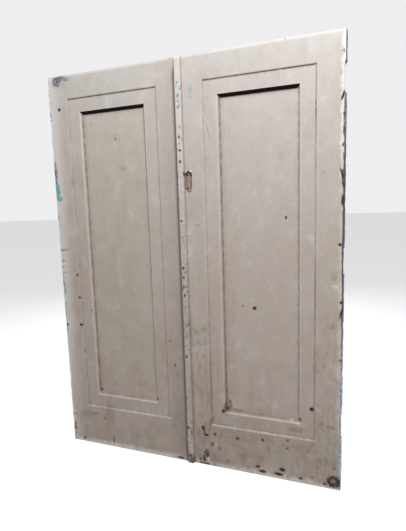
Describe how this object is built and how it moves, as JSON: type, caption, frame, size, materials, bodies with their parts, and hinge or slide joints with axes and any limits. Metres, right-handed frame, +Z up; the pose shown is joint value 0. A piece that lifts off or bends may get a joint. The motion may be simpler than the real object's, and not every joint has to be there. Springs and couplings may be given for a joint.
{
  "type": "metal double door",
  "caption": "Double door of timber leaves clad in folded painted sheet, with tall sunk panels in mitred borders, an astragal over the meeting line and sliding flush bolts.",
  "frame": {"origin": "on the floor line, below the middle of the pair, midway between the astragal's front and the leaves' back", "axes": "+X along the pair to the right leaf, -Y is the front, +Z up"},
  "size_m": [1.527, 0.0584, 2.032],
  "materials": {
    "painted_sheet": "aged cream paint on galvanised sheet, dirty and chipped, bare along the outer edges",
    "timber": "old unpainted softwood",
    "plain_steel": "dull plain steel"
  },
  "bodies": {
    "leaves": {"astragal_cover": "painted_sheet", "astragal_strip": "timber", "bottom_flush_bolt_guide": "plain_steel", "bottom_flush_bolt_plate": "plain_steel", "left_bottom_cap": "painted_sheet", "left_bottom_ground": "timber", "left_bottom_moulding_back": "painted_sheet", "left_bottom_moulding_front": "painted_sheet", "left_bottom_rail": "timber", "left_face_pan_back": "painted_sheet", "left_face_pan_front": "painted_sheet", "left_hinge_ground": "timber", "left_hinge_moulding_back": "painted_sheet", "left_hinge_moulding_front": "painted_sheet", "left_hinge_stile": "timber", "left_meeting_ground": "timber", "left_meeting_moulding_back": "painted_sheet", "left_meeting_moulding_front": "painted_sheet", "left_meeting_stile": "timber", "left_panel_board": "timber", "left_panel_sheet_back": "painted_sheet", "left_panel_sheet_front": "painted_sheet", "left_top_cap": "painted_sheet", "left_top_ground": "timber", "left_top_moulding_back": "painted_sheet", "left_top_moulding_front": "painted_sheet", "left_top_rail": "timber", "right_bottom_cap": "painted_sheet", "right_bottom_ground": "timber", "right_bottom_moulding_back": "painted_sheet", "right_bottom_moulding_front": "painted_sheet", "right_bottom_rail": "timber", "right_face_pan_back": "painted_sheet", "right_face_pan_front": "painted_sheet", "right_hinge_ground": "timber", "right_hinge_moulding_back": "painted_sheet", "right_hinge_moulding_front": "painted_sheet", "right_hinge_stile": "timber", "right_meeting_ground": "timber", "right_meeting_moulding_back": "painted_sheet", "right_meeting_moulding_front": "painted_sheet", "right_meeting_stile": "timber", "right_panel_board": "timber", "right_panel_sheet_back": "painted_sheet", "right_panel_sheet_front": "painted_sheet", "right_top_cap": "painted_sheet", "right_top_ground": "timber", "right_top_moulding_back": "painted_sheet", "right_top_moulding_front": "painted_sheet", "right_top_rail": "timber", "top_flush_bolt_guide": "plain_steel", "top_flush_bolt_plate": "plain_steel"},
    "top_bolt": {"top_flush_bolt": "plain_steel"},
    "bottom_bolt": {"bottom_flush_bolt": "plain_steel"}
  },
  "joints": [
    {"name": "top_bolt_slide", "type": "slide", "parent": "leaves", "child": "top_bolt", "axis": [0, 0, 1], "range_m": [0, 0.019]},
    {"name": "bottom_bolt_slide", "type": "slide", "parent": "leaves", "child": "bottom_bolt", "axis": [0, 0, -1], "range_m": [0, 0.019]}
  ]
}
